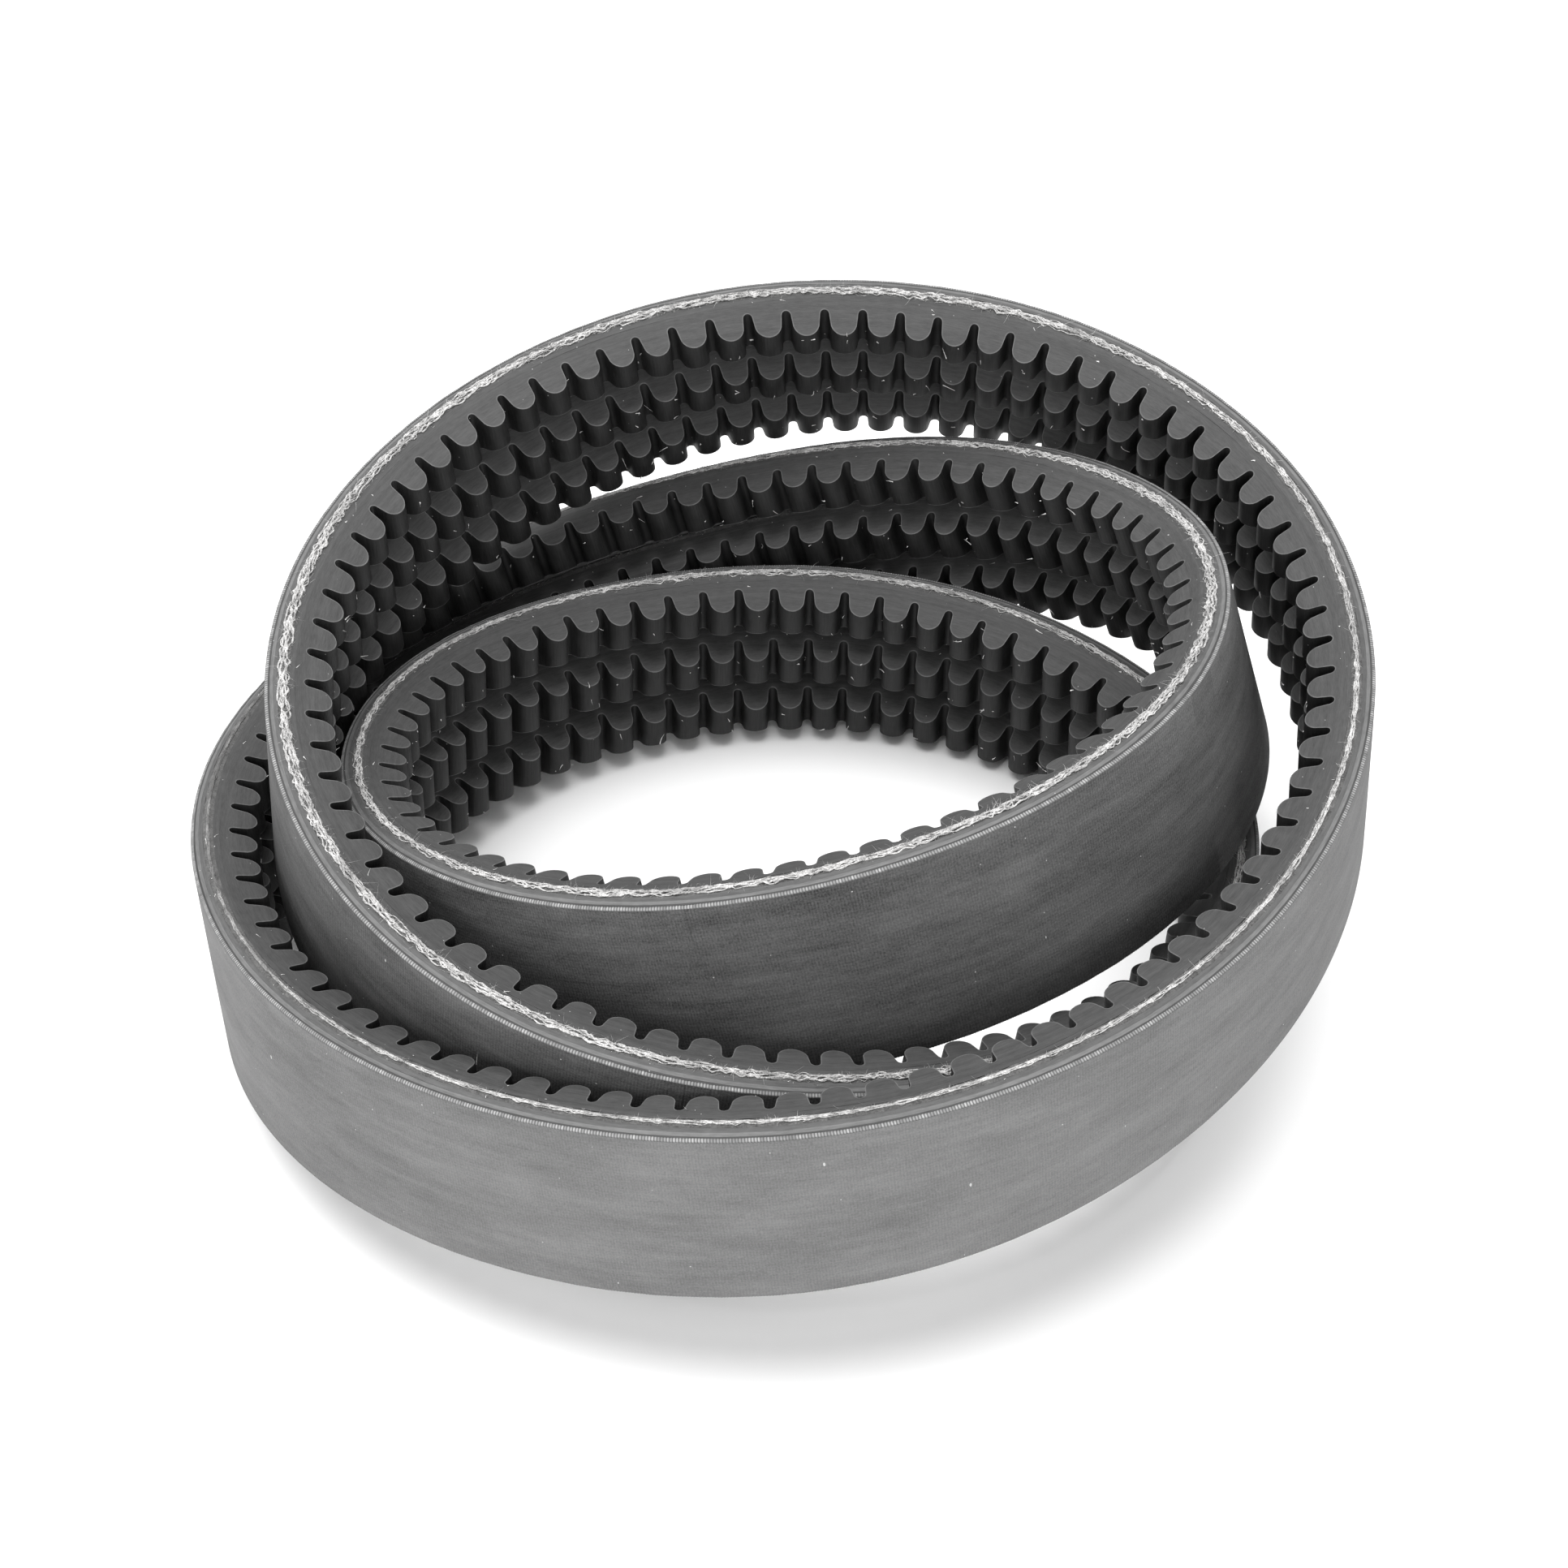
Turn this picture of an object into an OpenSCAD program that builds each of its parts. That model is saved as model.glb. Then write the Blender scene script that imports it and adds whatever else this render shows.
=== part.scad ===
// Joined cogged V belt: three ribs under one tie band, endless, coiled on edge into three loops.
// The belt stands on its lower edge: that edge's lowest point is at z = 0, +Z is up, and the
// coil's middle is on the Z axis. The flat back faces out all the way round, the cogs face in.
// Each layer of the belt is its own solid, swept along one closed route.

/* [Belt section] */
// centre to centre distance of neighbouring ribs
rib_pitch = 17.5; // [16.4:0.1:21]
// width of one rib at its cord line, where it is widest
rib_w = 15.9; // [13:0.1:16.2]
// thickness of the belt from its flat back to the cog tips
belt_t = 15; // [12.5:0.1:18]
// depth of the notches between the cogs
notch_depth = 6.1; // [3:0.1:7.3]
// length of belt taken up by one cog and one notch
cog_pitch = 9.7; // [8.5:0.1:13]
// slope of a rib's sides, each side
side_angle = 20; // [14:0.5:22]

/* [Coil] */
// outer width of the coil along X
coil_w = 276; // [230:1:344]
// outer depth of the coil along Y
coil_d = 254; // [212:1:317]

/* [Hidden] */

// Depths below the flat back at which one layer ends and the next begins.
ply_t = 0.8;
skim_t = 0.4;
cord_t = 2.4;
overcord_t = 1;
band_t = 2 * ply_t + skim_t;
cord_top = band_t + overcord_t;
cord_line = cord_top + cord_t / 2;
cord_bottom = cord_top + cord_t;
notch_root = belt_t - notch_depth;
// the gum under the cords takes two fifths of the rubber left above the notches
gum_bottom = cord_bottom + 0.4 * (notch_root - cord_bottom);

// A rib is widest at the cord line; above it the cut side leans back in by this angle.
bevel_angle = 20;
function rib_half(depth) = depth < cord_line
    ? rib_w / 2 - (cord_line - depth) * tan(bevel_angle)
    : rib_w / 2 - (depth - cord_line) * tan(side_angle);
function band_half(depth) = rib_pitch + rib_half(depth);
belt_w = 2 * band_half(cord_line);

// Route of the cord line, clockwise seen from above, starting at the front: x, y, height of
// the belt's middle, how many loops lie outside it there, and its lean in degrees. A belt that
// leans has its flat back turned to face up by that angle.
route = [
    [35, -106, 45, 1, 2], [-46, -105, 56, 1, -1], [-108, -53, 65, 1, 2],
    [-122, 25, 76, 1, 7], [-78, 92, 86, 0.5, 1], [-6, 120, 101, 0, 19],
    [75, 111, 99, 0, 24], [132, 55, 84, 0, 9], [135, -26, 73, 0, 4],
    [91, -92, 64, 0, 0], [17, -128, 58, 0, 4], [-62, -116, 50, 0, 4],
    [-125, -66, 41, 0, 5], [-140, 15, 29, 0, -7], [-96, 84, 23, 0.5, -22],
    [-23, 109, 38, 1, -15], [55, 104, 60, 1, 6], [113, 49, 78, 1, 18],
    [100, -34, 91, 2, 17], [35, -82, 87, 2, 15], [-43, -82, 70, 2, 6],
    [-105, -29, 49, 2, 2], [-96, 53, 29, 2, -6], [-18, 91, 26, 2, 0],
    [60, 81, 26, 1.5, 6], [119, 20, 24, 1, 3], [100, -62, 33, 1, 1]
];
knots = len(route);

// The sizes the route points above are drawn for.
route_w = 276;
route_d = 254;
route_t = 15;
route_belt_w = 50.9;

scale_x = (coil_w - 2 * cord_line) / (route_w - 2 * cord_line);
scale_y = (coil_d - 2 * cord_line) / (route_d - 2 * cord_line);
scale_z = belt_w / route_belt_w;
// A thicker belt, or a smaller coil, moves each inner loop further in so the loops stay apart.
// A smaller coil also bends tighter, which brings the loops closer, so its share is raised.
tighter = 1.5;
loop_shift = belt_t - route_t * pow(min(scale_x, scale_y, 1), tighter);
function route_point(r) =
    let (x = r[0] * scale_x, y = r[1] * scale_y, reach = norm([x, y]))
    [x - r[3] * loop_shift * x / reach, y - r[3] * loop_shift * y / reach, r[2] * scale_z];
control = [for (r = route) route_point(r)];
// A wider belt leans less, so that its loops stay apart.
lean_share = pow(min(1, 1 / scale_z), 2);
leans = [for (r = route) r[4] * lean_share];

// Closed cubic B-spline over a list with one entry a route point, weighted at u.
function four(list, u, w) =
    let (i = floor(u))
    w[0] * list[(i + knots - 1) % knots] + w[1] * list[i % knots]
    + w[2] * list[(i + 1) % knots] + w[3] * list[(i + 2) % knots];
function value_weights(t) =
    [pow(1 - t, 3), 3 * t * t * t - 6 * t * t + 4, -3 * t * t * t + 3 * t * t + 3 * t + 1,
        t * t * t] / 6;
function slope_weights(t) = [-(1 - t) * (1 - t), 3 * t * t - 4 * t, -3 * t * t + 2 * t + 1, t * t] / 2;
function place(u) = four(control, u, value_weights(u - floor(u)));
function slope(u) = four(control, u, slope_weights(u - floor(u)));
function lean(u) = four(leans, u, value_weights(u - floor(u)));

// Belt length along the route, and the table that turns a length into u.
steps = 24 * knots;
chord = [for (i = [0:steps - 1]) norm(place((i + 1) / 24) - place(i / 24))];
run = [for (i = 0, s = 0; i <= steps; s = s + (i < steps ? chord[i] : 0), i = i + 1) [s, i / 24]];
belt_length = run[steps][0];

// Whole cogs fill the belt; the layers have one station at every second notch.
stations = round(belt_length / cog_pitch / 2);
cogs = 2 * stations;
function unit(v) = v / norm(v);
// One station: the cord line's place, the way out of the coil, the way up the belt's width.
function station(i) =
    let (u = lookup(i * belt_length / stations, run), along = unit(slope(u)),
        level = unit(cross([0, 0, 1], along)), rise = cross(along, level), a = lean(u))
    [place(u), cos(a) * level + sin(a) * rise, cos(a) * rise - sin(a) * level];
frames = [for (i = [0:stations - 1]) station(i)];

// A point of station f at a depth below the back and a distance up the width.
function raw_point(f, depth, w) = f[0] + (cord_line - depth) * f[1] + w * f[2];
lowest = min([for (f = frames) for (d = [0, cord_line, belt_t])
    raw_point(f, d, -band_half(d))[2]]);
function at(f, depth, w) = raw_point(f, depth, w) - [0, 0, lowest];

// Faces of a closed sweep with m points round its section. rising[j] says that the section's
// side j runs up the width; it sets the diagonal, so two layers meet on the same triangles.
function sweep_faces(n, m, rising) = [
    for (i = [0:n - 1]) for (j = [0:m - 1])
        let (k = (i + 1) % n, j2 = (j + 1) % m, a = i * m + j, b = i * m + j2,
            a2 = k * m + j, b2 = k * m + j2)
        each rising[j] ? [[a, b2, b], [a, a2, b2]] : [[a, a2, b], [b, a2, b2]]
];

// A plain layer between two depths, centred w0 up the width.
module layer(top, bottom, half_top, half_bottom, w0) {
    section = [[top, w0 - half_top], [top, w0 + half_top],
        [bottom, w0 + half_bottom], [bottom, w0 - half_bottom]];
    polyhedron(
        points = [for (f = frames) for (s = section) at(f, s[0], s[1])],
        faces = sweep_faces(stations, 4, [true, false, false, half_top < half_bottom]),
        convexity = 12);
}

module rib_layer(top, bottom, w0) {
    layer(top, bottom, rib_half(top), rib_half(bottom), w0);
}

module band_layer(top, bottom) {
    layer(top, bottom, band_half(top), band_half(bottom), 0);
}

// The inner ply's underside is divided where the ribs' edges meet it.
module ribbed_band_layer(top, bottom) {
    h = rib_half(bottom);
    under = [for (w0 = [rib_pitch, 0, -rib_pitch]) each [[bottom, w0 + h], [bottom, w0 - h]]];
    section = concat([[top, -band_half(top)], [top, band_half(top)]], under);
    polyhedron(
        points = [for (f = frames) for (s = section) at(f, s[0], s[1])],
        faces = sweep_faces(stations, 8,
            [true, false, false, false, false, false, false, band_half(top) < band_half(bottom)]),
        convexity = 12);
}

// Cog outline over two cogs: place along the pair as a share of one cog, and depth.
root_half = 0.13;
tip_half = 0.24;
pair = [for (c = [0, 1]) each [
    [c + root_half, notch_root], [c + 0.5 - tip_half, belt_t],
    [c + 0.5 + tip_half, belt_t], [c + 1 - root_half, notch_root]]];

// The cogged part of a rib: a smooth top and sixteen outline points below each stretch.
// Point order at a stretch: top low, top high, then the outline's low and high points in pairs.
module cogged_layer(w0) {
    stretch = 2 + 2 * len(pair);
    high = 1;
    points = [for (i = [0:stations - 1])
        let (f = frames[i], g = frames[(i + 1) % stations])
        each concat(
            [for (side = [-1, 1]) at(f, gum_bottom, w0 + side * rib_half(gum_bottom))],
            [for (p = pair) for (side = [-1, 1])
                let (w = w0 + side * rib_half(p[1]), t = p[0] / 2)
                (1 - t) * at(f, p[1], w) + t * at(g, p[1], w)])];
    // corner numbers of stretch i: top T, outline q(0) to q(8), q(8) being the next stretch's q(0)
    function top(i, side) = (i % stations) * stretch + side;
    function q(i, j, side) = j < len(pair) ? (i % stations) * stretch + 2 + 2 * j + side
        : q(i + 1, j - len(pair), side);
    function wall(i, side) = [
        [top(i + 1, side), q(i, 7, side), q(i, 8, side)],
        [q(i, 0, side), q(i, 1, side), q(i, 2, side)],
        [q(i, 0, side), q(i, 2, side), q(i, 3, side)],
        [q(i, 4, side), q(i, 5, side), q(i, 6, side)],
        [q(i, 4, side), q(i, 6, side), q(i, 7, side)],
        [top(i, side), q(i, 0, side), q(i, 3, side)],
        [top(i, side), q(i, 3, side), q(i, 4, side)],
        [top(i, side), q(i, 4, side), top(i + 1, side)],
        [q(i, 4, side), q(i, 7, side), top(i + 1, side)]
    ];
    function turned(faces) = [for (t = faces) [t[0], t[2], t[1]]];
    faces = [for (i = [0:stations - 1]) each concat(
        [[top(i, 0), top(i + 1, high), top(i, high)], [top(i, 0), top(i + 1, 0), top(i + 1, high)]],
        [for (j = [0:len(pair) - 1]) each
            [[q(i, j, 0), q(i, j, high), q(i, j + 1, high)],
             [q(i, j, 0), q(i, j + 1, high), q(i, j + 1, 0)]]],
        wall(i, 0),
        turned(wall(i, high)))];
    polyhedron(points = points, faces = faces, convexity = 20);
}

module tie_band_outer_fabric_ply() {
    color([0.42, 0.42, 0.43]) band_layer(0, ply_t);
}

module tie_band_skim_rubber() {
    color([0.16, 0.16, 0.17]) band_layer(ply_t, ply_t + skim_t);
}

module tie_band_inner_fabric_ply() {
    color([0.36, 0.36, 0.37]) ribbed_band_layer(ply_t + skim_t, band_t);
}

module lower_rib_overcord_rubber() {
    color([0.3, 0.3, 0.31]) rib_layer(band_t, cord_top, -rib_pitch);
}

module middle_rib_overcord_rubber() {
    color([0.3, 0.3, 0.31]) rib_layer(band_t, cord_top, 0);
}

module upper_rib_overcord_rubber() {
    color([0.3, 0.3, 0.31]) rib_layer(band_t, cord_top, rib_pitch);
}

// The cord layer is widest half way down, at the cord line, so its section has six sides.
module cord_layer(w0) {
    section = [[cord_top, w0 - rib_half(cord_top)], [cord_top, w0 + rib_half(cord_top)],
        [cord_line, w0 + rib_half(cord_line)], [cord_bottom, w0 + rib_half(cord_bottom)],
        [cord_bottom, w0 - rib_half(cord_bottom)], [cord_line, w0 - rib_half(cord_line)]];
    polyhedron(
        points = [for (f = frames) for (s = section) at(f, s[0], s[1])],
        faces = sweep_faces(stations, 6, [true, true, false, false, false, true]),
        convexity = 12);
}

module lower_rib_tensile_cord_layer() {
    color([0.75, 0.74, 0.7]) cord_layer(-rib_pitch);
}

module middle_rib_tensile_cord_layer() {
    color([0.75, 0.74, 0.7]) cord_layer(0);
}

module upper_rib_tensile_cord_layer() {
    color([0.75, 0.74, 0.7]) cord_layer(rib_pitch);
}

module lower_rib_undercord_gum() {
    color([0.24, 0.24, 0.25]) rib_layer(cord_bottom, gum_bottom, -rib_pitch);
}

module middle_rib_undercord_gum() {
    color([0.24, 0.24, 0.25]) rib_layer(cord_bottom, gum_bottom, 0);
}

module upper_rib_undercord_gum() {
    color([0.24, 0.24, 0.25]) rib_layer(cord_bottom, gum_bottom, rib_pitch);
}

module lower_rib_cogged_rubber() {
    color([0.28, 0.28, 0.29]) cogged_layer(-rib_pitch);
}

module middle_rib_cogged_rubber() {
    color([0.28, 0.28, 0.29]) cogged_layer(0);
}

module upper_rib_cogged_rubber() {
    color([0.28, 0.28, 0.29]) cogged_layer(rib_pitch);
}

tie_band_outer_fabric_ply();
tie_band_skim_rubber();
tie_band_inner_fabric_ply();
lower_rib_overcord_rubber();
middle_rib_overcord_rubber();
upper_rib_overcord_rubber();
lower_rib_tensile_cord_layer();
middle_rib_tensile_cord_layer();
upper_rib_tensile_cord_layer();
lower_rib_undercord_gum();
middle_rib_undercord_gum();
upper_rib_undercord_gum();
lower_rib_cogged_rubber();
middle_rib_cogged_rubber();
upper_rib_cogged_rubber();
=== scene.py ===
"""The look of the joined cogged V belt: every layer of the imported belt, remade in fine detail.

All lengths are metres, in the frame of the CAD model: +Z up, floor at z = 0.
A point of the belt is given by three numbers: how far along the belt it is, how deep below the
flat back, and how far across the width from the middle. place() turns them into x, y, z.
"""
import math

import bpy
import numpy as np
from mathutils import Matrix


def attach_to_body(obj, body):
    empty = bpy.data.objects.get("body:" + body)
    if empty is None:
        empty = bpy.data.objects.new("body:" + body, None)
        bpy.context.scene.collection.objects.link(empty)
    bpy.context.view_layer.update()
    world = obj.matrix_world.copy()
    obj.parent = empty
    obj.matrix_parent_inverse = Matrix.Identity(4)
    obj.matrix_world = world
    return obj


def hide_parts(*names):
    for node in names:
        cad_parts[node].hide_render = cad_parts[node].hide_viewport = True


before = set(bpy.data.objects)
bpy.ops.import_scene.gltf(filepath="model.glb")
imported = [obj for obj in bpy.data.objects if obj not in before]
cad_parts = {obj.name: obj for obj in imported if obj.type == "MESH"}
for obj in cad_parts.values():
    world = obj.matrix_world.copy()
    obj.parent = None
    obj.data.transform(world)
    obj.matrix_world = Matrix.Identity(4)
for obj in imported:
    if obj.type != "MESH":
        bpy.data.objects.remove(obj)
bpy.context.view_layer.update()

MM = 0.001

# ---- the belt's section -------------------------------------------------------------------

RIB_PITCH = 17.5 * MM
RIB_W = 15.9 * MM
BELT_T = 15.0 * MM
NOTCH_DEPTH = 6.1 * MM
SIDE_SLOPE = math.tan(math.radians(20))

PLY_T = 0.8 * MM
SKIM_T = 0.4 * MM
CORD_T = 2.4 * MM
OVERCORD_T = 1.0 * MM
BAND_T = 2 * PLY_T + SKIM_T
CORD_TOP = BAND_T + OVERCORD_T
CORD_LINE = CORD_TOP + CORD_T / 2
CORD_BOTTOM = CORD_TOP + CORD_T
NOTCH_ROOT = BELT_T - NOTCH_DEPTH
GUM_BOTTOM = CORD_BOTTOM + 0.4 * (NOTCH_ROOT - CORD_BOTTOM)

RIBS = {"lower": -RIB_PITCH, "middle": 0.0, "upper": RIB_PITCH}


def rib_half(depth):
    """Half a rib's width: widest at the cord line, and less above and below it."""
    return RIB_W / 2 - np.abs(np.asarray(depth) - CORD_LINE) * SIDE_SLOPE


def band_half(depth):
    return RIB_PITCH + rib_half(depth)


# ---- the belt's route ---------------------------------------------------------------------

# Route of the cord line, the same points as the CAD model's, clockwise seen from above, and
# the belt's lean there in degrees: its flat back turned to face up by that angle.
ROUTE = np.array([
    (0.035, -0.106, 0.045, 2), (-0.046, -0.105, 0.056, -1), (-0.108, -0.053, 0.065, 2),
    (-0.122, 0.025, 0.076, 7), (-0.078, 0.092, 0.086, 1), (-0.006, 0.120, 0.101, 19),
    (0.075, 0.111, 0.099, 24), (0.132, 0.055, 0.084, 9), (0.135, -0.026, 0.073, 4),
    (0.091, -0.092, 0.064, 0), (0.017, -0.128, 0.058, 4), (-0.062, -0.116, 0.050, 4),
    (-0.125, -0.066, 0.041, 5), (-0.140, 0.015, 0.029, -7), (-0.096, 0.084, 0.023, -22),
    (-0.023, 0.109, 0.038, -15), (0.055, 0.104, 0.060, 6), (0.113, 0.049, 0.078, 18),
    (0.100, -0.034, 0.091, 17), (0.035, -0.082, 0.087, 15), (-0.043, -0.082, 0.070, 6),
    (-0.105, -0.029, 0.049, 2), (-0.096, 0.053, 0.029, -6), (-0.018, 0.091, 0.026, 0),
    (0.060, 0.081, 0.026, 6), (0.119, 0.020, 0.024, 3), (0.100, -0.062, 0.033, 1),
])
# How far the cord on the upper edge is frayed at each route point, from 0 to 1.
FRAY = [0.75, 0.8, 0.9, 1.0, 0.95, 0.85, 0.75, 0.5, 0.3, 0.25, 0.25, 0.3, 0.12, 0.05, 0.2, 0.6,
        0.7, 0.85, 0.95, 0.9, 0.75, 0.6, 0.5, 0.75, 0.7, 0.4, 0.6]
# How pale the flat back is painted at each route point, from 0 to 1: painted light on the outer loop
# at the front, painted shade on the inner loops at the front.
BACK_PAINTED_LIGHT = [0.3, 0.25, 0.2, 0.3, 0.5, 0.6, 0.6, 0.7, 0.9, 1.0, 1.0, 0.95, 0.95, 0.9, 0.6, 0.4, 0.35,
        0.4, 0.35, 0.2, 0.15, 0.2, 0.3, 0.3, 0.3, 0.35, 0.35]
COG_PITCH = 9.7 * MM
# Places worked out along the route, to read the spline from.
ROUTE_STEPS = 12000
JUST_ABOVE_FLOOR = 0.05 * MM


def spline(u, weights):
    """The closed cubic B-spline through the route at every u, with the weights of one order."""
    i = np.floor(u).astype(int)
    w = weights(u - i)
    return sum(w[k][:, None] * ROUTE[(i + k - 1) % len(ROUTE)] for k in range(4))


def route_tables():
    """Place, way out and way up the width at even steps along the belt, and its length."""
    u = np.linspace(0, len(ROUTE), ROUTE_STEPS, endpoint=False)
    value = spline(u, lambda t: [(1 - t) ** 3 / 6, (3 * t ** 3 - 6 * t ** 2 + 4) / 6,
                                 (-3 * t ** 3 + 3 * t ** 2 + 3 * t + 1) / 6, t ** 3 / 6])
    slope = spline(u, lambda t: [-(1 - t) ** 2 / 2, (3 * t ** 2 - 4 * t) / 2,
                                 (-3 * t ** 2 + 2 * t + 1) / 2, t ** 2 / 2])[:, :3]
    p = value[:, :3]
    lean = np.radians(value[:, 3:])
    along = slope / np.linalg.norm(slope, axis=1)[:, None]
    level = np.cross([0, 0, 1], along)
    level /= np.linalg.norm(level, axis=1)[:, None]
    rise = np.cross(along, level)
    out = np.cos(lean) * level + np.sin(lean) * rise
    up = np.cos(lean) * rise - np.sin(lean) * level
    run = np.concatenate([[0], np.cumsum(np.linalg.norm(np.roll(p, -1, 0) - p, axis=1))])
    return run, p, out, up


RUN, CORD_PLACE, OUT, UP = route_tables()
BELT_LENGTH = RUN[-1]
COGS = 2 * round(BELT_LENGTH / COG_PITCH / 2)
PITCH = BELT_LENGTH / COGS


def place(along, depth, across):
    """Points x, y, z of the belt, from arrays of the same shape."""
    s = np.mod(along, BELT_LENGTH)
    base, out, up = (
        np.stack([np.interp(s, RUN, np.append(t[:, k], t[0, k])) for k in range(3)], -1)
        for t in (CORD_PLACE, OUT, UP))
    return base + (CORD_LINE - depth)[..., None] * out + across[..., None] * up - FLOOR_DROP


def place_above_floor(along, depth, across):
    """The same points in one list, with none lower than just above the floor."""
    points = place(along, depth, across).reshape(-1, 3)
    points[:, 2] = np.maximum(points[:, 2], JUST_ABOVE_FLOOR)
    return points


def lowest_point():
    """The belt's lowest point before it is set down on the floor, as a shift straight up or down."""
    s = np.linspace(0, BELT_LENGTH, 4000)
    low = [place(s, np.full(s.shape, d), np.full(s.shape, -band_half(d)))[:, 2].min()
           for d in (0, CORD_LINE, BELT_T)]
    return np.array([0, 0, min(low)])


FLOOR_DROP = np.zeros(3)
FLOOR_DROP = lowest_point()

SEED = 7
rng = np.random.default_rng(SEED)


def by_route(values, along):
    """A value given for each route point, read at each length along the belt."""
    share = np.mod(along, BELT_LENGTH) / BELT_LENGTH * len(values)
    return np.interp(share, np.arange(len(values) + 1), values + values[:1])


def fray(along):
    return by_route(FRAY, along)


def wander(count, step, size):
    """A smooth closed random line of count values, changing over about step values."""
    knots = max(4, round(count / step))
    raw = rng.normal(size=knots)
    x = np.arange(count) * knots / count
    i = np.floor(x).astype(int)
    t = x - i
    t = t * t * (3 - 2 * t)
    return size * ((1 - t) * raw[i % knots] + t * raw[(i + 1) % knots])


# ---- meshes -------------------------------------------------------------------------------

def make_object(name, verts, faces, values, sharp_degrees=35):
    """An object from arrays; values are named numbers kept on its points for its material."""
    mesh = bpy.data.meshes.new(name)
    mesh.from_pydata(verts.tolist(), [], faces.tolist())
    for key, data in values.items():
        kind = "FLOAT_VECTOR" if data.ndim == 2 else "FLOAT"
        attribute = mesh.attributes.new(key, kind, "POINT")
        attribute.data.foreach_set("vector" if data.ndim == 2 else "value", data.ravel())
    mesh.polygons.foreach_set("use_smooth", np.ones(len(mesh.polygons), bool))
    mesh.set_sharp_from_angle(angle=math.radians(sharp_degrees))
    obj = bpy.data.objects.new(name, mesh)
    bpy.context.scene.collection.objects.link(obj)
    return obj


def grid_faces(rows, cols, close_rows=True, close_cols=True):
    """Quads of a grid of points, rows along the belt and cols round the section."""
    i = np.arange(rows if close_rows else rows - 1)[:, None]
    j = np.arange(cols if close_cols else cols - 1)[None, :]
    i2, j2 = (i + 1) % rows, (j + 1) % cols
    quads = np.stack(np.broadcast_arrays(i * cols + j, i2 * cols + j, i2 * cols + j2,
                                         i * cols + j2), -1)
    return quads.reshape(-1, 4)


def swept(name, along, depth, across, extra=None):
    """A closed sweep. along, depth and across are grids: rows along the belt, cols around."""
    verts = place(along, depth, across).reshape(-1, 3)
    values = {"belt": np.stack([along, across, depth], -1).reshape(-1, 3)}
    for key, data in (extra or {}).items():
        values[key] = data.reshape(-1)
    return make_object(name, verts, grid_faces(*along.shape), values)


def section_sweep(columns, section):
    """A sweep of one fixed section [(depth, across), ...], listed clockwise along the belt."""
    s = np.linspace(0, BELT_LENGTH, columns, endpoint=False)
    section = np.array(section)
    shape = (columns, len(section))
    return (np.broadcast_to(s[:, None], shape).copy(),
            np.broadcast_to(section[:, 0], shape).copy(),
            np.broadcast_to(section[:, 1], shape).copy())


def layer_section(top, bottom, half, middle=0.0, rows=3):
    """Section of a layer between two depths: down the upper side, then up the lower side."""
    depths = np.linspace(top, bottom, rows)
    upper = [(d, middle + float(half(d))) for d in depths]
    lower = [(d, middle - float(half(d))) for d in depths[::-1]]
    return upper + lower


# ---- materials ----------------------------------------------------------------------------

class Nodes:
    """A short way to build a material's node tree."""

    def __init__(self, name):
        self.material = bpy.data.materials.new(name)
        self.material.use_nodes = True
        self.tree = self.material.node_tree
        self.tree.nodes.clear()
        self.shader = self.add("ShaderNodeBsdfPrincipled")
        output = self.add("ShaderNodeOutputMaterial")
        self.tree.links.new(self.shader.outputs[0], output.inputs[0])

    def add(self, kind, **settings):
        node = self.tree.nodes.new(kind)
        for key, value in settings.items():
            setattr(node, key, value)
        return node

    def link(self, source, socket):
        if hasattr(source, "is_output"):
            self.tree.links.new(source, socket)
        else:
            socket.default_value = source

    def attribute(self, name, output="Fac"):
        return self.add("ShaderNodeAttribute", attribute_name=name).outputs[output]

    def math(self, operation, a, b=0.0, clamp=False):
        node = self.add("ShaderNodeMath", operation=operation, use_clamp=clamp)
        self.link(a, node.inputs[0])
        self.link(b, node.inputs[1])
        return node.outputs[0]

    def scaled(self, vector, scale):
        node = self.add("ShaderNodeVectorMath", operation="MULTIPLY")
        self.link(vector, node.inputs[0])
        node.inputs[1].default_value = scale
        return node.outputs[0]

    def noise(self, vector, scale=1.0, detail=3.0, roughness=0.55):
        node = self.add("ShaderNodeTexNoise")
        self.link(vector, node.inputs["Vector"])
        node.inputs["Scale"].default_value = scale
        node.inputs["Detail"].default_value = detail
        node.inputs["Roughness"].default_value = roughness
        return node.outputs["Fac"]

    def ramp(self, value, low, high, to_low=0.0, to_high=1.0):
        node = self.add("ShaderNodeMapRange")
        self.link(value, node.inputs["Value"])
        for key, number in (("From Min", low), ("From Max", high),
                            ("To Min", to_low), ("To Max", to_high)):
            node.inputs[key].default_value = number
        return node.outputs["Result"]

    def mix(self, factor, a, b):
        node = self.add("ShaderNodeMix", data_type="RGBA")
        self.link(factor, node.inputs[0])
        self.link(a, node.inputs[6])
        self.link(b, node.inputs[7])
        return node.outputs[2]

    def flecks(self, vector, cell, share, size):
        """Small scattered specks: one place a cell, kept in a share of the cells."""
        where = self.scaled(vector, (1 / cell,) * 3)
        voronoi = self.add("ShaderNodeTexVoronoi")
        self.link(where, voronoi.inputs["Vector"])
        voronoi.inputs["Scale"].default_value = 1.0
        near = self.math("LESS_THAN", voronoi.outputs["Distance"], size / cell)
        split = self.add("ShaderNodeSeparateColor")
        self.link(voronoi.outputs["Color"], split.inputs[0])
        kept = self.math("LESS_THAN", split.outputs[0], share)
        return self.math("MULTIPLY", near, kept)

    def bump(self, height, strength, distance):
        node = self.add("ShaderNodeBump")
        node.inputs["Strength"].default_value = strength
        node.inputs["Distance"].default_value = distance
        self.link(height, node.inputs["Height"])
        self.tree.links.new(node.outputs[0], self.shader.inputs["Normal"])

    def finish(self, color, roughness, specular=0.35):
        self.link(color, self.shader.inputs["Base Color"])
        self.link(roughness, self.shader.inputs["Roughness"])
        self.shader.inputs["Specular IOR Level"].default_value = specular
        return self.material


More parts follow.
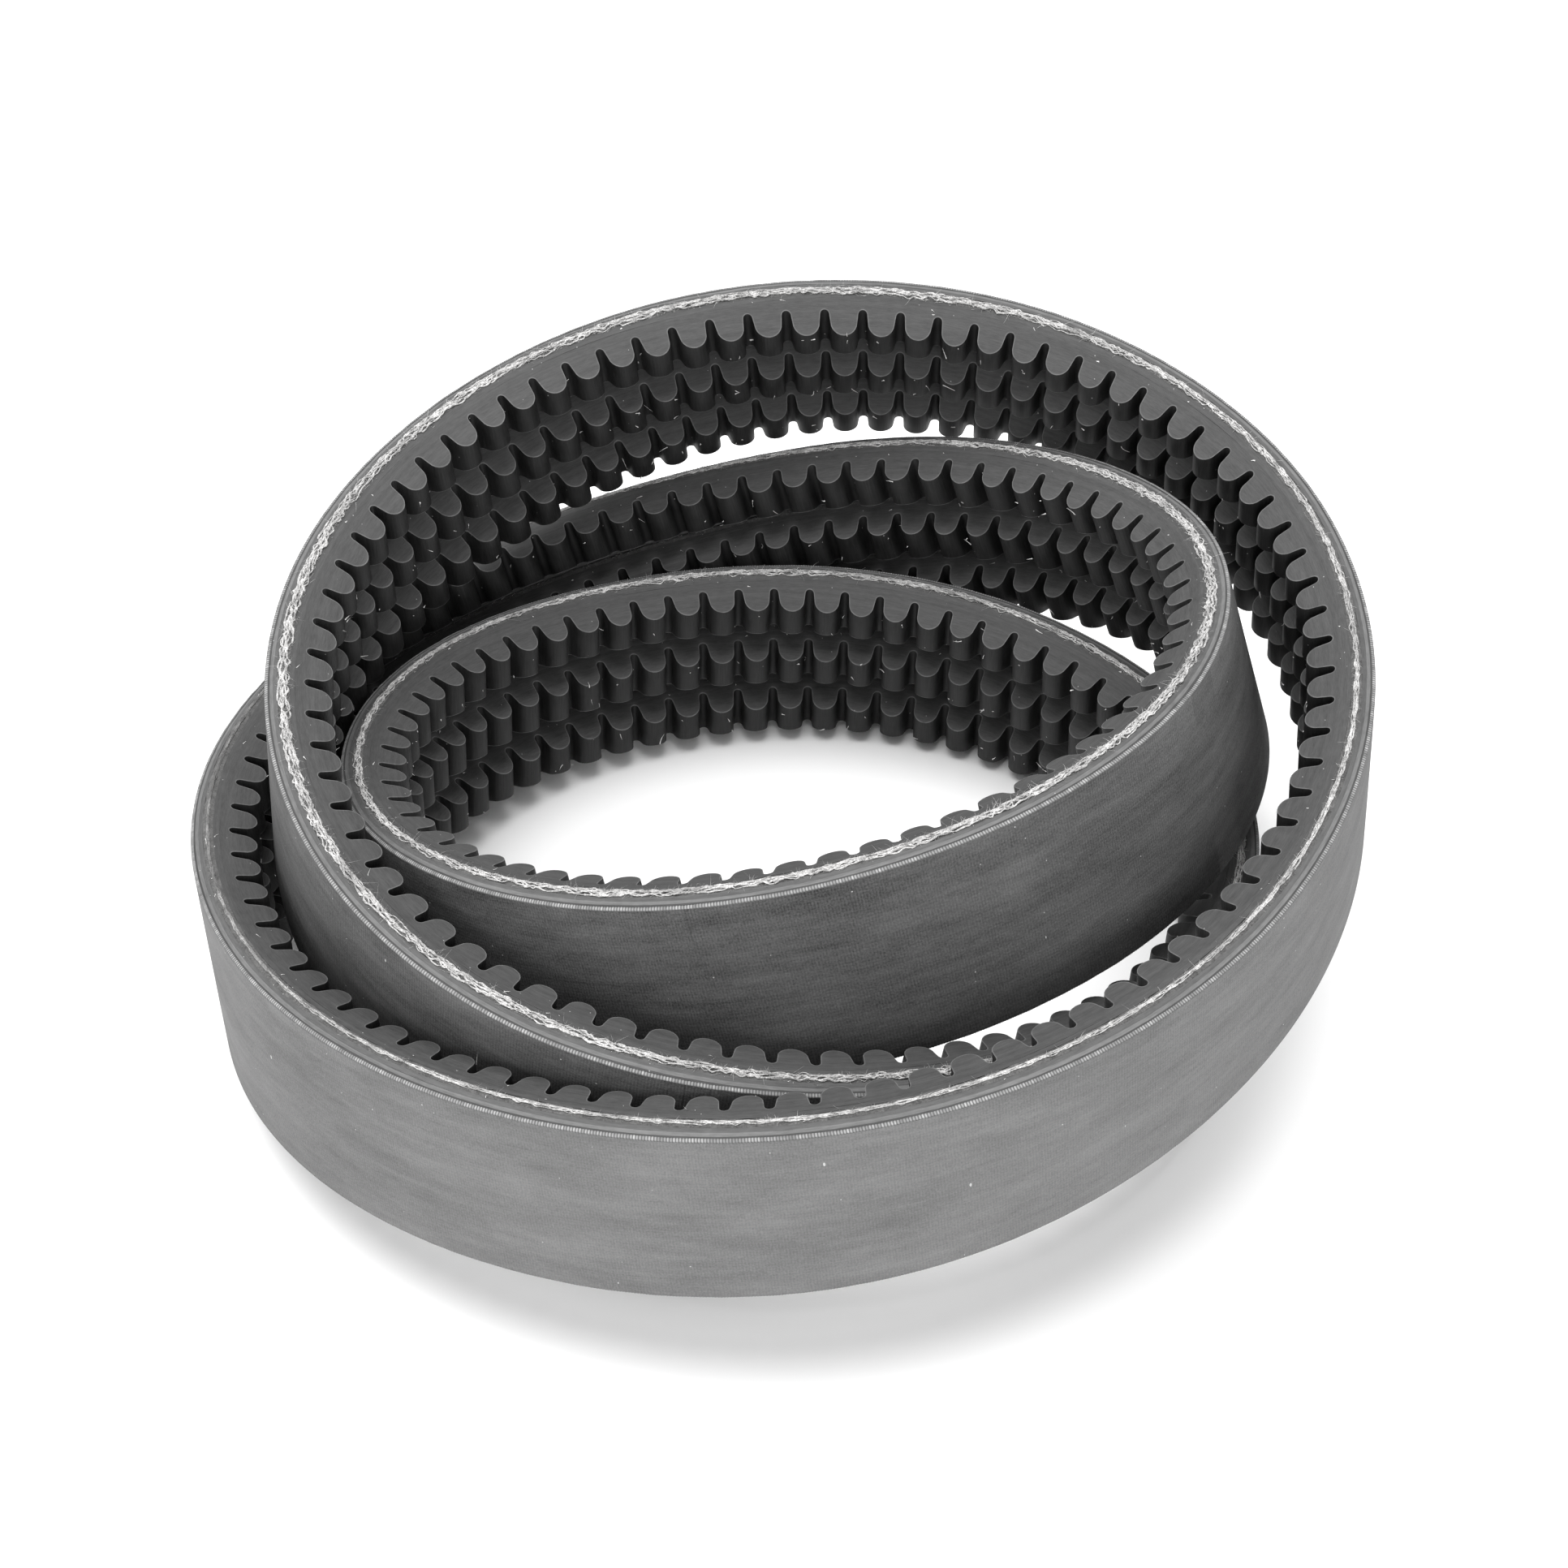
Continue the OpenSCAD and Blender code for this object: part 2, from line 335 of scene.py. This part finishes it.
def grey(value, warmth=0.0):
    return (value * (1 + warmth), value, value * (1 - warmth), 1)


def place_and_object(n):
    """The belt's own coordinates, and the plain object coordinates."""
    return n.attribute("belt", "Vector"), n.add("ShaderNodeTexCoord").outputs["Object"]


WEFT_PITCH = 0.66 * MM
WARP_PITCH = 0.85 * MM


def band_fabric_material():
    """Woven back: fine yarns across the belt, weaker ones along it, clouds, lint, and painted light
    and shade along the belt.
    """
    n = Nodes("band_fabric")
    belt, obj = place_and_object(n)
    shaky = n.add("ShaderNodeVectorMath", operation="ADD")
    n.link(belt, shaky.inputs[0])
    wobble = n.add("ShaderNodeTexNoise")
    n.link(obj, wobble.inputs["Vector"])
    wobble.inputs["Scale"].default_value = 260
    n.link(n.scaled(wobble.outputs["Color"], (0.00035, 0.00035, 0)), shaky.inputs[1])
    split = n.add("ShaderNodeSeparateXYZ")
    n.link(shaky.outputs[0], split.inputs[0])
    weft = n.math("SINE", n.math("MULTIPLY", split.outputs[0], 2 * math.pi / WEFT_PITCH))
    warp = n.math("SINE", n.math("MULTIPLY", split.outputs[1], 2 * math.pi / WARP_PITCH))
    weave = n.math("ADD", n.math("MULTIPLY", weft, 0.65), n.math("MULTIPLY", warp, 0.3))
    patchy = n.noise(n.scaled(belt, (240, 900, 900)), detail=4)
    weave = n.math("MULTIPLY", weave, n.ramp(patchy, 0.3, 0.7, 0.35, 1.0))
    clouds = n.noise(n.scaled(belt, (22, 60, 60)), detail=7, roughness=0.68)
    streaks = n.noise(n.scaled(belt, (55, 420, 420)), detail=4, roughness=0.6)
    grain = n.noise(obj, scale=2600, detail=2)
    tone = n.math("ADD", n.ramp(clouds, 0.25, 0.75, -0.22, 0.22),
                  n.ramp(streaks, 0.25, 0.75, -0.09, 0.09))
    tone = n.math("ADD", tone, n.math("MULTIPLY", weave, 0.10))
    tone = n.math("ADD", tone, n.ramp(grain, 0.3, 0.7, -0.13, 0.13))
    # Painted light and shade along the back: paler on the front outer loop, darker on the inner
    # front loops.
    tone = n.math("ADD", tone, n.math("MULTIPLY", n.attribute("back_painted_light"), 0.5))
    base = n.mix(n.math("ADD", tone, 0.22, clamp=True), grey(0.02), grey(0.185))
    lint = n.math("MAXIMUM", n.flecks(n.scaled(belt, (1, 0.45, 1)), 4.6 * MM, 0.3, 0.24 * MM),
                  n.flecks(obj, 2.4 * MM, 0.1, 0.16 * MM))
    base = n.mix(n.math("MULTIPLY", lint, 0.7), base, grey(0.55))
    height = n.math("ADD", n.math("MULTIPLY", weave, 0.5), grain)
    n.bump(height, 0.5, 0.00012)
    return n.finish(base, n.ramp(patchy, 0.2, 0.8, 0.66, 0.84), 0.2)


def band_edge_material():
    """Cut edge of the outer fabric ply: pale yarn ends standing in a row in dark rubber."""
    n = Nodes("band_fabric_edge")
    belt, obj = place_and_object(n)
    tick = n.attribute("tick")
    uneven = n.noise(n.scaled(belt, (420, 300, 300)), detail=3)
    grain = n.noise(obj, scale=3000, detail=2)
    pale = n.math("MULTIPLY", tick, n.ramp(uneven, 0.25, 0.65, 0.25, 1.0), clamp=True)
    base = n.mix(pale, grey(0.06), grey(0.5))
    base = n.mix(n.ramp(grain, 0.3, 0.7, 0.0, 0.2), base, grey(0.2))
    n.bump(grain, 0.4, 0.0001)
    return n.finish(base, 0.75, 0.25)


def cut_rubber_material(name, value, rim=False):
    """A ground rubber side: mottled grey, fine slanting scratches, and a pale worn rim if asked."""
    n = Nodes(name)
    belt, obj = place_and_object(n)
    slant = n.add("ShaderNodeMapping")
    n.link(belt, slant.inputs["Vector"])
    slant.inputs["Rotation"].default_value = (0, math.radians(35), 0)
    slant.inputs["Scale"].default_value = (400, 500, 3200)
    scratches = n.noise(slant.outputs[0], detail=3, roughness=0.7)
    mottle = n.noise(obj, scale=330, detail=5, roughness=0.65)
    bands = n.noise(n.scaled(belt, (22, 300, 900)), detail=3)
    tone = n.math("ADD", n.ramp(scratches, 0.25, 0.75, -0.22, 0.22),
                  n.ramp(mottle, 0.25, 0.75, -0.14, 0.14))
    tone = n.math("ADD", tone, n.ramp(bands, 0.3, 0.7, -0.14, 0.14))
    base = n.mix(n.math("ADD", tone, 0.5, clamp=True), grey(value * 0.55), grey(value * 1.5))
    specks = n.flecks(obj, 2.1 * MM, 0.2, 0.13 * MM)
    base = n.mix(n.math("MULTIPLY", specks, 0.45), base, grey(0.6))
    if rim:
        edge = n.math("POWER", n.attribute("rim"), 2.0)
        worn = n.noise(obj, scale=500, detail=2)
        edge = n.math("MULTIPLY", edge, n.ramp(worn, 0.3, 0.6, 0.25, 0.75), clamp=True)
        base = n.mix(edge, base, grey(0.2))
    n.bump(n.math("ADD", scratches, n.math("MULTIPLY", mottle, 0.7)), 0.35, 0.00016)
    return n.finish(base, n.ramp(mottle, 0.2, 0.8, 0.6, 0.8), 0.2)


def moulded_rubber_material():
    """The moulded cog faces and notches: near black, with mould lines across and a dusty bloom."""
    n = Nodes("moulded_rubber")
    belt, obj = place_and_object(n)
    lines = n.noise(n.scaled(belt, (2600, 120, 2600)), detail=3, roughness=0.7)
    bloom = n.noise(obj, scale=120, detail=5, roughness=0.6)
    base = n.mix(n.ramp(bloom, 0.35, 0.7), grey(0.006), grey(0.018))
    base = n.mix(n.ramp(lines, 0.45, 0.8, 0.0, 0.5), base, grey(0.035))
    lint = n.flecks(obj, 2.6 * MM, 0.16, 0.17 * MM)
    base = n.mix(n.math("MULTIPLY", lint, 0.5), base, grey(0.5))
    n.bump(n.math("ADD", lines, bloom), 0.4, 0.00015)
    return n.finish(base, n.ramp(bloom, 0.3, 0.7, 0.5, 0.66), 0.3)


def cord_material(name, dark, light, by_fray=False):
    """Loose polyester fibre: pale, broken up by fine shadow between the filaments."""
    n = Nodes(name)
    belt, obj = place_and_object(n)
    fibres = n.noise(obj, scale=2400, detail=3, roughness=0.7)
    clumps = n.noise(obj, scale=520, detail=3)
    tone = n.math("ADD", n.ramp(fibres, 0.35, 0.65, 0.0, 0.6),
                  n.ramp(clumps, 0.35, 0.65, 0.0, 0.4))
    if by_fray:
        patches = n.noise(n.scaled(belt, (130, 60, 60)), detail=3)
        shown = n.math("ADD", n.ramp(n.attribute("fray"), 0.06, 0.24, 0.1, 1.0),
                       n.ramp(patches, 0.35, 0.65, -0.35, 0.25), clamp=True)
        tone = n.math("MULTIPLY", tone, shown)
    base = n.mix(tone, grey(dark, 0.01), grey(light, 0.01))
    n.bump(fibres, 0.6, 0.00015)
    n.shader.inputs["Sheen Weight"].default_value = 0.25
    return n.finish(base, 0.85, 0.15)


def floor_material():
    n = Nodes("studio_floor")
    obj = n.add("ShaderNodeTexCoord").outputs["Object"]
    cloud = n.noise(obj, scale=1.5, detail=2)
    base = n.mix(cloud, (0.9, 0.9, 0.9, 1), (0.92, 0.92, 0.92, 1))
    return n.finish(base, 0.7, 0.2)


# ---- the belt's pieces --------------------------------------------------------------------

def attach(obj, slot, nodes, *materials):
    """Gives a piece its materials and its body, and hides the CAD nodes it stands for; slot is not
    used.
    """
    for material in materials:
        obj.data.materials.append(material)
    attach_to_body(obj, "root")
    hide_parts(*nodes)


TICK = 0.62 * MM
TICK_LIFT = 0.14 * MM
PLY_CORNER = 0.25 * MM


def outer_ply():
    """The tie band's outer fabric: woven back, and a toothed row of yarn ends at each cut edge."""
    ticks = round(BELT_LENGTH / TICK)
    h0, h1 = float(band_half(0)), float(band_half(PLY_T))
    soft = PLY_CORNER
    section = [(soft * 0.15, h0 - soft), (0.12 * MM, h0 - 0.05 * MM), (0.35 * MM, h0 + 0.1 * MM),
               (PLY_T, h1), (PLY_T, -h1), (0.35 * MM, -h0 - 0.1 * MM),
               (0.12 * MM, -h0 + 0.05 * MM), (soft * 0.15, -h0 + soft),
               (0, -h0 / 2), (0, 0), (0, h0 / 2)]
    s, depth, across = section_sweep(2 * ticks, section)
    tooth = (np.arange(2 * ticks) % 2)[:, None] * (0.6 + 0.4 * rng.random((2 * ticks, 1)))
    edge_cols = np.zeros(len(section))
    edge_cols[[1, 2, 3, 4, 5, 6]] = [0.8, 1, 0.7, 0.7, 1, 0.8]
    lift = TICK_LIFT * tooth * edge_cols
    across = across + np.sign(across) * lift
    s = s + 0.15 * MM * np.abs(across) / h0
    uneven = (wander(2 * ticks, 60, 0.05 * MM) + wander(2 * ticks, 9, 0.03 * MM))[:, None]
    across = across + np.sign(across) * uneven * (edge_cols > 0)
    # The per-point values carry the back's painted light and shade to its material.
    obj = swept("tie_band_outer_fabric", s, depth, across,
                {"tick": tooth * edge_cols, "back_painted_light": by_route(BACK_PAINTED_LIGHT, s)})
    attach(obj, "band_fabric", ["tie_band_outer_fabric_ply"],
           band_fabric_material(), band_edge_material())
    cols = len(section)
    edge_faces = np.zeros(cols, int)
    edge_faces[[0, 1, 2, 4, 5, 6]] = 1
    obj.data.polygons.foreach_set("material_index", np.tile(edge_faces, 2 * ticks))


def plain_layer(name, node, slot, top, bottom, half, material, middle=0.0, rough=0.04 * MM):
    """A smooth rubber or ply layer whose cut sides are slightly uneven."""
    columns = round(BELT_LENGTH / (1.2 * MM))
    s, depth, across = section_sweep(columns, layer_section(top, bottom, half, middle))
    side = np.sign(across - middle)
    for way in (-1, 1):
        ripple = (wander(columns, 14, rough) + wander(columns, 3, rough / 2))[:, None]
        across = across + way * ripple * (side == way)
    obj = swept(name, s, depth, across)
    attach(obj, slot, [node], material)


# A cog's outline, as shares: the notch's round and the tip's half width of the pitch, and the
# height of the tip's round of the notch's depth.
ROOT_R, TIP_HALF, TIP_ROUND = 0.12, 0.355, 0.5
CUT_RIM = 0.38 * MM
CUT_ROUNDING = 0.16 * MM


def cog_outline():
    """One cog's pitch from notch to notch: shares of the pitch, and depth below the flat back."""
    arc = np.radians(np.array([0, 20, 40, 60, 80]))
    root_s = ROOT_R * np.sin(arc)
    root_d = ROOT_R * (1 - np.cos(arc)) * PITCH
    arc = np.radians(np.array([0, 15, 30, 45, 60, 75, 90]))
    tip_s = 0.5 - TIP_HALF * np.cos(arc)
    tip_d = NOTCH_DEPTH * (1 - TIP_ROUND + TIP_ROUND * np.sin(arc))
    half_s = np.concatenate([root_s, tip_s])
    half_d = np.concatenate([root_d, tip_d])
    s = np.concatenate([half_s, 1 - half_s[-2:0:-1]])
    d = np.concatenate([half_d, half_d[-2:0:-1]])
    return s, NOTCH_ROOT + d


def inset(s, d, amount):
    """The outline drawn again a little way inside the rubber."""
    along = np.roll(s, -1) - np.roll(s, 1)
    down = np.roll(d, -1) - np.roll(d, 1)
    reach = np.hypot(along, down)
    return s + amount * down / reach, d - amount * along / reach


def cogged_rib(rib, side_material, moulded):
    """One rib's cogged rubber, with rounded notches and a thin worn rim on its cut sides."""
    middle = RIBS[rib]
    share, outline = cog_outline()
    count = len(share)
    s = (np.arange(COGS)[:, None] + share[None, :]).ravel() * PITCH
    d = np.tile(outline, COGS)
    jitter = np.repeat(rng.normal(size=COGS) * 0.05 * MM, count)
    d = d + jitter * (d - NOTCH_ROOT) / NOTCH_DEPTH
    open_ends = np.concatenate([[s[-1] - BELT_LENGTH], s, [s[0] + BELT_LENGTH]])
    depth_ends = np.concatenate([[d[-1]], d, [d[0]]])
    s_in, d_in = (v[1:-1] for v in inset(open_ends, depth_ends, CUT_RIM))
    s_top = (s_in + s) / 2
    rows = []
    for side in (1, -1):
        rows.append([
            (s_top, np.full(s.shape, GUM_BOTTOM), side * rib_half(GUM_BOTTOM), 0.0),
            (s_top, (GUM_BOTTOM + d_in) / 2, side * rib_half((GUM_BOTTOM + d_in) / 2), 0.0),
            (s_in, d_in, side * rib_half(d_in), 0.0),
            (s, d - 0.04 * MM, side * (rib_half(d) - 0.02 * MM), 1.0),
            (s, d, side * (rib_half(d) - CUT_ROUNDING), 0.7)])
    ring = rows[0] + [(s, d, 0 * s, 0.0)] + rows[1][::-1]
    grid = [np.stack([np.broadcast_to(row[k], s.shape) for row in ring], 1) for k in range(4)]
    wobble = wander(len(s), 40, 0.04 * MM)[:, None]
    across = grid[2] + np.sign(grid[2]) * wobble
    obj = swept(f"{rib}_rib_cogs", grid[0], grid[1], across + middle, {"rim": grid[3]})
    attach(obj, "cog_rubber", [f"{rib}_rib_cogged_rubber"], side_material, moulded)
    bottom = np.zeros(len(ring), int)
    bottom[[4, 5]] = 1
    obj.data.polygons.foreach_set("material_index", np.tile(bottom, len(s)))


def tube_grid(along, depth, across, radius, sides):
    """Thin tubes laid along the belt: one row of arrays a strand, given as 1-D arrays."""
    angle = np.arange(sides) * 2 * math.pi / sides
    return (np.repeat(along[:, None], sides, 1),
            depth[:, None] + radius[:, None] * np.cos(angle)[None, :],
            across[:, None] + radius[:, None] * np.sin(angle)[None, :])


def join_parts(name, parts, closed):
    """One object from several grids of belt points."""
    verts, faces, belts, frays, total = [], [], [], [], 0
    for along, depth, across in parts:
        frays.append(fray(along).ravel())
        verts.append(place_above_floor(along, depth, across))
        belts.append(np.stack([along, across, depth], -1).reshape(-1, 3))
        faces.append(grid_faces(*along.shape, close_rows=closed) + total)
        total += along.size
    return make_object(name, np.concatenate(verts), np.concatenate(faces),
                       {"belt": np.concatenate(belts), "fray": np.concatenate(frays)},
                       sharp_degrees=180)


def cord_strands(side, strands, step):
    """The frayed cord along one cut edge: wandering yarns that cross over one another."""
    count = round(BELT_LENGTH / step)
    s = np.linspace(0, BELT_LENGTH, count, endpoint=False)
    loose = fray(s) if side > 0 else np.full(count, HIDDEN_LOOSE)
    parts = []
    for k in range(strands):
        home = CORD_T * 0.42 * (2 * (k + 0.5) / strands - 1) * (0.2 + 0.8 * loose)
        depth = CORD_LINE + home + wander(count, 1.6 * MM / step, 0.4 * MM) * loose
        depth = np.clip(depth + wander(count, 3, 0.1 * MM), CORD_TOP, CORD_BOTTOM + 0.15 * MM)
        proud = 0.02 * MM + np.abs(wander(count, 1.3 * MM / step, 0.2 * MM)) * loose
        radius = 0.22 * MM + np.clip(wander(count, 2, 0.08 * MM), -0.1 * MM, 0.16 * MM)
        radius = radius * (0.35 + 0.65 * loose)
        slip = wander(count, 1.8 * MM / step, 0.3 * MM)
        across = side * (RIB_PITCH + rib_half(depth) + proud)
        parts.append(tube_grid(s + slip, depth, across, radius, 4))
    return parts


THREAD_POINTS = 4
FIBRE_RADIUS = 0.045 * MM
# The belt's two outer edges and the grooves: how many loose fibres, and their usual length.
UPPER_FIBRES, LOWER_FIBRES, GROOVE_FIBRES = 26000, 3000, 2600
EDGE_FIBRE, GROOVE_FIBRE = 0.95 * MM, 0.55 * MM
LINT_PER_RIB = 600
# Looseness of the cord on the lower edge and in the grooves, the same all along the belt.
HIDDEN_LOOSE = 0.4


def threads(name, start, way, curl, width):
    """Short bent threads that taper. start and way are (along, depth, across) rows."""
    amount = len(start)
    t = np.linspace(0, 1, THREAD_POINTS)[None, :, None]
    path = start[:, None, :] + way[:, None, :] * t + curl[:, None, :] * (t * t)
    radius = (width[:, None] * (1 - 0.8 * t[..., 0]))[..., None]
    angle = (np.arange(3) * 2 * math.pi / 3)[None, None, :]
    along = np.broadcast_to(path[..., 0:1], (amount, THREAD_POINTS, 3)) + radius * np.cos(angle)
    depth = path[..., 1:2] + radius * np.cos(angle + 1)
    across = path[..., 2:3] + radius * np.sin(angle)
    verts = place_above_floor(along, depth, across)
    one = grid_faces(THREAD_POINTS, 3, close_rows=False)
    faces = (np.arange(amount)[:, None, None] * 3 * THREAD_POINTS + one[None]).reshape(-1, 4)
    belt = np.stack([along, across, depth], -1).reshape(-1, 3)
    return make_object(name, verts, faces, {"belt": belt, "fray": fray(along).ravel()}, 180)


def edge_fuzz(name, middle, side, amount, size, by_fray):
    """Loose fibres that stick out of the cord at one side of a rib."""
    along = rng.uniform(0, BELT_LENGTH, amount)
    if by_fray:
        along = along[rng.random(amount) < 0.25 + 0.75 * fray(along)]
    n = len(along)
    loose = fray(along) if by_fray else np.full(n, HIDDEN_LOOSE)
    depth = CORD_LINE + rng.normal(0, CORD_T * 0.27, n) * (0.2 + 0.8 * loose)
    length = rng.gamma(3.0, size / 3, n) * (0.5 + 0.6 * loose)
    start = np.stack([along, depth, middle + side * (rib_half(depth) + 0.05 * MM)], 1)
    way = np.stack([length * rng.normal(0, 0.75, n), length * rng.normal(0.12, 0.5, n),
                    side * length * rng.uniform(0.2, 0.7, n)], 1)
    curl = np.stack([length * rng.normal(0, 0.3, n), length * rng.normal(0, 0.3, n),
                     -side * length * rng.uniform(0, 0.35, n)], 1)
    return threads(name, start, way, curl, np.full(n, FIBRE_RADIUS))


def lint(rib, material):
    """Pale lint lying on a rib's cogs, in its notches and in the grooves beside it."""
    amount = LINT_PER_RIB
    along = rng.uniform(0, BELT_LENGTH, amount)
    off = rng.uniform(-RIB_PITCH / 2, RIB_PITCH / 2, amount)
    on_cog = np.abs(along / PITCH % 1 - 0.5) < 0.3
    depth = np.where(on_cog, BELT_T - 0.02 * MM, NOTCH_ROOT + 0.3 * MM)
    in_groove = np.abs(off) > float(rib_half(BELT_T))
    beside = rng.uniform(BAND_T + 0.5 * MM, NOTCH_ROOT, amount)
    depth = np.where(in_groove, beside, depth)
    flank = np.sign(off) * (rib_half(depth) + 0.05 * MM)
    start = np.stack([along, depth, RIBS[rib] + np.where(in_groove, flank, off)], 1)
    length = rng.gamma(2.5, 0.4 * MM, amount)
    turn = rng.uniform(0, 2 * math.pi, amount)
    way = np.stack([length * np.cos(turn), rng.uniform(0, 0.5, amount) * length,
                    length * np.sin(turn) * ~in_groove], 1)
    curl = rng.normal(0, 0.3, (amount, 3)) * length[:, None] * (1, 1, 0.3)
    obj = threads(f"{rib}_rib_lint", start, way, curl, rng.uniform(0.08, 0.17, amount) * MM)
    attach(obj, "cog_rubber", [f"{rib}_rib_cogged_rubber"], material)


def cord_layer(rib, material):
    """The rough core of a rib's cord layer, which the yarns and loose fibres lie on."""
    middle = RIBS[rib]
    columns = round(BELT_LENGTH / (0.8 * MM))
    section = layer_section(CORD_TOP, CORD_BOTTOM, rib_half, middle, rows=5)
    s, depth, across = section_sweep(columns, section)
    side = np.sign(across - middle)
    rough = np.stack([wander(columns, 2.5, 0.1 * MM) for _ in section], 1)
    across = across + side * (rough - 0.08 * MM)
    core = swept(f"{rib}_rib_cord_core", s, depth, across)
    attach(core, "tensile_cord", [f"{rib}_rib_tensile_cord_layer"], material)


YARNS = 7
YARN_STEP = 0.55 * MM


def edge_cord(rib, side, material):
    """The frayed yarn and fibres on one outer edge of the belt."""
    strands = join_parts(f"{rib}_rib_frayed_yarn", cord_strands(side, YARNS, YARN_STEP), True)
    attach(strands, "tensile_cord", [f"{rib}_rib_tensile_cord_layer"], material)
    amount = UPPER_FIBRES if side > 0 else LOWER_FIBRES
    fuzz = edge_fuzz(f"{rib}_rib_loose_fibres", RIBS[rib], side, amount, EDGE_FIBRE, side > 0)
    attach(fuzz, "tensile_cord", [f"{rib}_rib_tensile_cord_layer"], material)


def groove_cord(rib, material):
    """The few cut fibres that show at a rib's upper side, in the groove."""
    fuzz = edge_fuzz(f"{rib}_rib_groove_fibres", RIBS[rib], 1, GROOVE_FIBRES,
                     GROOVE_FIBRE, False)
    attach(fuzz, "tensile_cord", [f"{rib}_rib_tensile_cord_layer"], material)


def build_belt():
    outer_ply()
    plain_layer("tie_band_skim", "tie_band_skim_rubber", "skim_rubber", PLY_T, PLY_T + SKIM_T,
                band_half, cut_rubber_material("skim_rubber", 0.05))
    plain_layer("tie_band_inner_fabric", "tie_band_inner_fabric_ply", "band_inner_fabric",
                PLY_T + SKIM_T, BAND_T, band_half, cut_rubber_material("band_inner_fabric", 0.12))
    overcord = cut_rubber_material("overcord_rubber", 0.078)
    gum = cut_rubber_material("undercord_gum", 0.062)
    cog_side = cut_rubber_material("cog_rubber", 0.056, rim=True)
    moulded = moulded_rubber_material()
    cord = cord_material("tensile_cord", 0.1, 0.72, by_fray=True)
    pale = cord_material("lint", 0.45, 0.95)
    core = cord_material("tensile_cord_core", 0.035, 0.12)
    for rib, middle in RIBS.items():
        plain_layer(f"{rib}_rib_overcord", f"{rib}_rib_overcord_rubber", "overcord_rubber",
                    BAND_T, CORD_TOP, rib_half, overcord, middle)
        cord_layer(rib, core)
        plain_layer(f"{rib}_rib_undercord", f"{rib}_rib_undercord_gum", "undercord_gum",
                    CORD_BOTTOM, GUM_BOTTOM, rib_half, gum, middle)
        cogged_rib(rib, cog_side, moulded)
        lint(rib, pale)
    edge_cord("upper", 1, cord)
    edge_cord("lower", -1, cord)
    groove_cord("middle", cord)
    groove_cord("lower", cord)


# ---- the studio ---------------------------------------------------------------------------

FLOOR_HALF = 6.0
SENSOR = 36


def studio_floor():
    size = FLOOR_HALF
    verts = np.array([(-size, -size, 0), (size, -size, 0), (size, size, 0), (-size, size, 0)])
    floor = make_object("studio_floor", verts, np.array([[0, 1, 2, 3]]), {})
    floor.data.materials.append(floor_material())


def area_light(name, position, target, size, power):
    data = bpy.data.lights.new(name, "AREA")
    data.shape = "DISK"
    data.size = size
    data.energy = power
    light = bpy.data.objects.new(name, data)
    bpy.context.scene.collection.objects.link(light)
    light.location = position
    way = np.array(target) - np.array(position)
    light.rotation_euler = look_angles(way)


def look_angles(way):
    """Euler angles that turn an object's -Z axis along way, with its +Y axis upwards."""
    flat = math.hypot(way[0], way[1])
    return (math.atan2(flat, -way[2]), 0, math.atan2(-way[0], way[1]))


def studio_lights():
    area_light("key_front", (0.35, -1.6, 0.75), (0, 0, 0.05), 1.3, 14)
    area_light("key_top", (-0.25, 0.2, 1.9), (0, 0, 0.05), 1.9, 50)
    area_light("fill_left", (-1.8, -0.3, 0.8), (0, 0, 0.05), 1.2, 8)
    world = bpy.data.worlds.new("studio")
    world.use_nodes = True
    background = world.node_tree.nodes["Background"]
    background.inputs["Color"].default_value = (1, 1, 1, 1)
    background.inputs["Strength"].default_value = 0.85
    bpy.context.scene.world = world


CAMERA_ELEVATION = math.radians(44.5)
CAMERA_PLACE = (0.0005, -0.4828, 0.5322)
CAMERA_LENS = 66.1


def studio_camera():
    data = bpy.data.cameras.new("camera")
    data.lens = CAMERA_LENS
    data.sensor_width = SENSOR
    data.clip_start = 0.01
    camera = bpy.data.objects.new("camera", data)
    bpy.context.scene.collection.objects.link(camera)
    camera.location = np.array(CAMERA_PLACE) - FLOOR_DROP
    camera.rotation_euler = (math.pi / 2 - CAMERA_ELEVATION, 0, 0)
    bpy.context.scene.camera = camera


build_belt()
studio_floor()
studio_lights()
studio_camera()
bpy.context.scene.view_settings.view_transform = "Standard"
